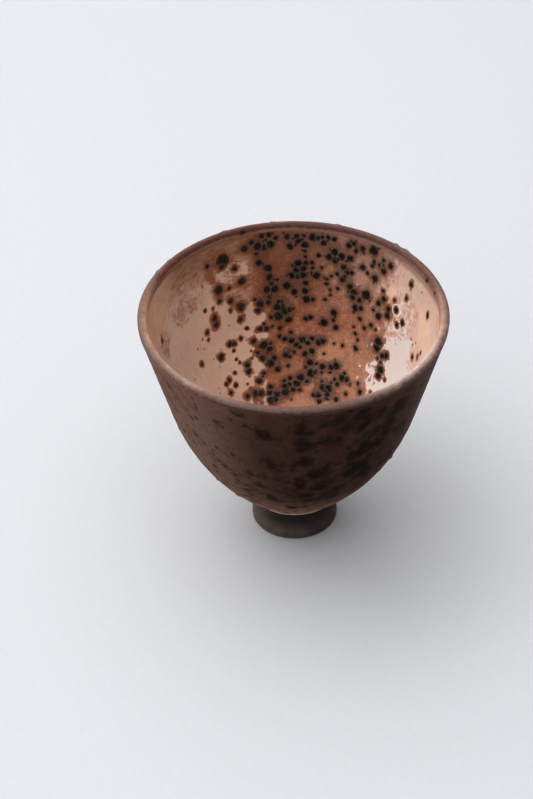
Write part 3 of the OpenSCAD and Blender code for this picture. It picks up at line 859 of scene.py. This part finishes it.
coat_outside = fire(jacket, "outside_glaze_coat", outside_glaze)
places, outward = points(coat_outside)
grit_r = 0.8
for bearing, height, tall in outside_grit:
    away = np.linalg.norm(places - on_wall(outside_line, bearing, height), axis=1)
    places += outward * (tall * np.exp(-(away / grit_r) ** 2))[:, None]
move(coat_outside, places)
places = boil_up(coat_outside, outside_spots, 0.06, 0.03, 0.05)
paint(
    coat_outside,
    stain=patches(
        places, (296, 76, 11, 5), (287, 79, 5, 4), (286, 69.5, 5, 4.5), (258.5, 73, 3.2, 3.8),
        (273, 76, 4.5, 4), (273, 68, 4.5, 4), (274, 59.5, 5, 3.5), (308, 67, 6, 4),
        (304, 60, 6, 4), (297, 57.5, 5, 3.5), (302, 48, 9, 6), (284, 45.5, 7, 5.5),
        (289, 38, 7, 6), (273, 48, 4, 3.5), (280, 52, 5, 3.5), (258, 36, 2.6, 2.2),
        (268, 28, 3, 2.4), (277, 37, 5, 4), (318, 46, 6, 4), (314, 74, 6, 4), (322, 60, 5, 4),
        (92, 73, 9, 5), (103, 66, 5, 4), (85, 64, 4, 4), (108, 58, 6, 3.5), (99, 54, 4, 3),
        (84, 52, 7, 4), (90, 44, 5, 4), (101, 42, 6, 3.5), (96, 33, 5, 3), (112, 78, 4, 3),
        (74, 70, 4, 5), (78, 79, 5, 3), (110, 46, 3, 3), (76, 40, 4, 3)),
    drift=patches(places, (289, 58, 45, 50), (94, 60, 34, 50)))
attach(coat_outside, "root")
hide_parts("outside_glaze")


# -------------------- lip glaze
# The lip was dipped again in a red-brown, iron-rich glaze. It ends in a soft bead over the
# other coats, inside and outside, and has broken paler along the top of the lip.

bead_r = 0.25
bead_proud = 0.08
inside_end = 84.04
outside_end = 84.36

crown = bmesh.new()
skin = crown.verts.layers.int.new("skin")
# Each edge starts under the coat that it overlaps and rolls out of it
out_low = Vector((flare_at(bead_r - bead_proud, outside_end), outside_end))
in_low = Vector((flare_at(lip_t - bead_r + bead_proud, inside_end), inside_end))
start = crown.verts.new((out_low.x + bead_r * flare_in.x, 0, out_low.y + bead_r * flare_in.y))
corner = swing(crown, start, out_low, 180, 8)
corner = draw(crown, corner, lip_outside.x, lip_outside.y, 2)
corner = swing(crown, corner, lip_centre, 180, 26)
shoulder = in_low + bead_r * flare_in
corner = draw(crown, corner, shoulder.x, shoulder.y, 5)
corner = swing(crown, corner, in_low, 180, 8)
before = set(crown.verts)
core_in = lip_centre + (lip_r - glaze_t) * flare_in
corner = draw(crown, corner, core_in.x, core_in.y, 3)
corner = swing(crown, corner, lip_centre, -180, 12)
draw(crown, corner, start.co.x, start.co.z, 2)
for vert in before:
    vert[skin] = 1
throw(crown, 480)

rim = Finish("lip_red_brown_glaze")
crust = rim.read("crust")
bleed = rim.read("bleed")
around = rim.read("around")
grain = rim.clouds(0.25, 2, 0.6, 5.0)
fine = rim.clouds(0.6, 3, 0.6, 1.0)
small = rim.clouds(1.8, 3, 0.55, 3.0)
broad = rim.clouds(5.0, 4, 0.55, 2.0)
across = rim.axis(0)
along = rim.axis(1)
# around runs from 0 at the outer side of the round lip to 1 at its inner side, then on to 2 down
# the inside and, the other way, to -1 down the outside
where = around + 0.5 * (broad - 0.5) + 0.5 * (small - 0.5)
rim.colour = rim.blend((0.6 * fine + 0.4 * small).rise(0.36, 0.64), (82, 49, 41), (120, 80, 67))
# It has broken to a greyer mauve over the top, least at the back on the left
top = where.rise(0.08, 0.25) * (1 - where.rise(0.5, 0.8)) * (1 - rim.read("brown"))
rim.lay(0.8 * top, rim.blend(fine, (82, 61, 53), (122, 98, 87)))
# A dark red line runs along its inner side at the back: partly the red-brown glaze, partly painted
# shade on the lip's inner side, which faces away from the window
line = where.rise(0.5, 0.8) * (1 - where.rise(1.2, 1.6)) * along.rise(10, 45)
rim.lay(0.8 * line, (72, 36, 28))
# At both ends it is thin, and the colours of the inside come up through it
ends = rim.read("peach")
on_right = across.rise(-20, 25)
forward = (-1 * along).rise(4, 30)
left_top = rim.blend(forward, (138, 102, 84), (160, 124, 106))
left_wall = rim.blend(forward, (204, 154, 124), (206, 172, 148))
right_top = rim.blend(forward, (152, 112, 95), (176, 146, 134))
right_wall = rim.blend(forward, (204, 158, 131), (232, 212, 201))
bare_left = ends * (1 - on_right)
rim.lay(0.85 * bare_left * where.rise(0.2, 0.7), left_top)
rim.lay(0.9 * bare_left * where.rise(0.55, 1.0), left_wall)
bare_right = ends * on_right
rim.lay(0.85 * bare_right * where.rise(0.15, 0.55), right_top)
rim.lay(0.9 * bare_right * where.rise(0.5, 0.95), right_wall)
# Elsewhere it fades into them down the inside
wall_left = rim.blend(small, (116, 78, 58), (150, 108, 84))
fading = where.rise(0.9, 1.7) * (1 - ends)
rim.lay(0.8 * fading, rim.blend(on_right, wall_left, (136, 102, 90)))
# Down its outer side it is laid darker, far darker on the right: partly the red-brown glaze, partly
# painted shade on the side away from the window
under = 1 - (around + 0.2 * (broad - 0.5) + 0.15 * (small - 0.5)).rise(0.03, 0.2)
rim.lay(0.85 * under, rim.blend(across.rise(-38, -20), (104, 64, 50), (52, 26, 19)))
ring = (bleed + 0.2 * (fine - 0.5)).rise(-0.05, 0.3)
rim.lay(0.7 * ring, (60, 38, 32))
core = (crust + 0.2 * (fine - 0.5)).rise(-0.06, 0.3)
rim.lay(0.92 * core, (18, 14, 12))
dots = rim.specks(0.35, 1.3, 0.3, 2.0)
rim.lay(0.5 * dots, (50, 32, 27))
# Pale specks: partly pale grains, partly painted sparkle
grains_and_sparkle = rim.specks(0.24, 0.9, 0.15, 9.0)
rim.lay(0.5 * grains_and_sparkle, (232, 212, 198))
roughness = 0.42 + 0.14 * fine - 0.12 * core
lip_glaze = rim.finish(roughness, 0.8 * fine + 0.3 * grain + small, 0.14, 0.2)
rim.glassy(rim.read("grit"), 0.1)

rim_blisters = [(111, 85.6, 1.6), (22, 84.9, 1.4), (13, 84.7, 1), (300, 84.7, 1.2), (250, 84.8, 1)]
# Grit that stands up on the shoulder of the lip: bearing, half width, height
rim_grit = [(46, 0.8, 0.4), (41, 1.3, 0.35), (154, 0.8, 0.35), (146, 0.6, 0.2), (118, 0.8, 0.25),
            (98, 0.8, 0.15), (72, 0.9, 0.2), (228, 0.8, 0.3), (310, 0.9, 0.35), (350, 0.7, 0.3)]
lip_line = [(flare_at(lip_t, up), up) for up in (82, 84, 85.6)]
rim_spots = []
for bearing, height, core in rim_blisters:
    rim_spots.append(on_wall(lip_line, bearing, height, core / 2, 0.7 * core + 0.2))
part_edges(crown, skin, rim_spots, 4, beyond=0.5, shortest=0.4)

coat_lip = fire(crown, "lip_glaze_coat", lip_glaze)
places, outward = points(coat_lip)
radius = np.hypot(places[:, 0], places[:, 1])
swung = (np.degrees(np.arctan2(places[:, 2] - lip_centre.y, radius - lip_centre.x)) + flare) / 180
inner_side = radius < flare_at(lip_r, places[:, 2])
lip_inside = lip_centre + lip_r * flare_in
straight_in = (lip_inside.y - places[:, 2]) / (lip_inside.y - inside_end)
straight_out = (lip_outside.y - places[:, 2]) / (lip_outside.y - outside_end)
around = np.clip(swung, 0, 1)
around = np.where(inner_side & (straight_in > 0), 1 + np.clip(straight_in, 0, 1), around)
around = np.where(~inner_side & (straight_out > 0), -np.clip(straight_out, 0, 1), around)
# The lower edges wander up and down, as a dipped edge does
edge_share = np.clip(np.abs(around - 0.5) - 0.5, 0, 1)
wave = 0.3 * wander(places * (1, 1, 0), 9, 11) + 0.12 * wander(places * (1, 1, 0), 2.5, 12)
places[:, 2] += np.clip(wave, -0.3, 0.2) * edge_share * np.where(inner_side, 1, 0.5)
# The lip lies a hair under its full height, with small bumps of grit on its shoulder
lip_down = 0.08
grit_out = 49.5
grit_up = 86.15
shoulder_line = [(grit_out, 0), (grit_out, cup_h)]
on_round = np.clip(np.sin(math.pi * np.clip(swung, 0, 1)), 0, 1)
lift = -lip_down - 0.06 * wander(places, 12, 14) - 0.07 * np.abs(wander(places, 1.3, 15))
grit = np.zeros(len(places))
for bearing, wide, tall in rim_grit:
    away = np.linalg.norm(places - on_wall(shoulder_line, bearing, grit_up), axis=1)
    lift += (tall + 0.1) * np.exp(-(away / wide) ** 2)
    grit = np.maximum(grit, np.exp(-(away / wide) ** 2))
places += outward * (lift * on_round)[:, None]
places[:, 2] = np.minimum(places[:, 2], cup_h - 0.005)
move(coat_lip, places)
places = boil_up(coat_lip, rim_spots, 0.3, 0, 0)
paint(
    coat_lip, around=around, grit=grit,
    peach=patches(places, (191, 85.5, 22, 20), (218, 85.5, 24, 20), (334, 85.5, 29, 20)),
    brown=patches(places, (126, 85.5, 24, 20), (96, 85.5, 18, 20)))
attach(coat_lip, "root")
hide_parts("lip_glaze")


# -------------------- studio
# A plain pale floor and three wide soft lamps: behind on the left like a window, in front on the
# left, and overhead. The camera looks down at the cup as the photograph does.

ground = Finish("pale_floor")
soft = ground.clouds(2.0, 4)
ground.colour = ground.blend(soft, (201, 201, 203), (209, 209, 211))
pale_floor = ground.finish(0.85 + 0.05 * soft, soft, 0.05, 0.2)
board = bmesh.new()
bmesh.ops.create_grid(board, x_segments=2, y_segments=2, size=3000)
floor = fire(board, "floor", pale_floor)
floor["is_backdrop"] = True


def hang(name, way, lift, far, wide, tall, level):
    """A soft lamp towards way and lift (degrees), far metres off, that gives that level of light."""
    lamp = bpy.data.lights.new(name, "AREA")
    lamp.shape = "RECTANGLE"
    lamp.size = wide
    lamp.size_y = tall
    lamp.energy = level * (math.pi * far) ** 2
    lamp.color = (0.97, 0.985, 1.0)
    hung = bpy.data.objects.new(name, lamp)
    turn = math.radians(way)
    rise = math.radians(lift)
    hung.location = far * Vector((
        math.cos(turn) * math.cos(rise), math.sin(turn) * math.cos(rise), math.sin(rise)))
    hung.rotation_euler = hung.location.to_track_quat("Z", "Y").to_euler()
    bpy.context.scene.collection.objects.link(hung)


hang("window_lamp", way=130, lift=55, far=1.3, wide=1.6, tall=1.2, level=0.48)
hang("side_lamp", way=217, lift=65, far=1.2, wide=1.3, tall=1.3, level=0.4)
hang("ceiling_lamp", way=270, lift=85, far=1.2, wide=1.3, tall=1.3, level=0.28)

# The surround is brightest towards the window and dims away from it
surround = bpy.data.worlds.new("surround")
surround.use_nodes = True
sky = surround.node_tree
way = sky.nodes.new("ShaderNodeTexCoord")
facing = sky.nodes.new("ShaderNodeVectorMath")
facing.operation = "DOT_PRODUCT"
facing.inputs[1].default_value = Vector((-0.64, 0.45, 0.62)).normalized()
fade = sky.nodes.new("ShaderNodeMapRange")
fade.inputs["From Min"].default_value = -1
fade.inputs["To Max"].default_value = 0.9
sky.links.new(way.outputs["Generated"], facing.inputs[0])
sky.links.new(facing.outputs["Value"], fade.inputs["Value"])
sky.links.new(fade.outputs["Result"], sky.nodes["Background"].inputs["Strength"])
sky.nodes["Background"].inputs["Color"].default_value = (0.95, 0.97, 1.0, 1)
bpy.context.scene.world = surround

# The camera as fitted to the photograph: its stand in metres, and how it is turned, tipped down
# and tilted, in degrees
stand = (0, -0.6405, 0.5811)
turned_left = 0.807
tipped_down = 39.69
tilted = -0.871
camera_data = bpy.data.cameras.new("camera")
camera_data.sensor_width = 36
camera_data.lens = 113.95
camera_data.clip_start = 0.05
camera = bpy.data.objects.new("camera", camera_data)
aim = (Matrix.Rotation(math.radians(turned_left), 4, "Z")
       @ Matrix.Rotation(math.radians(90 - tipped_down), 4, "X")
       @ Matrix.Rotation(math.radians(tilted), 4, "Z"))
camera.matrix_world = Matrix.Translation(stand) @ aim
bpy.context.scene.collection.objects.link(camera)
bpy.context.scene.camera = camera

bpy.context.scene.view_settings.view_transform = "Standard"

low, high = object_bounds()
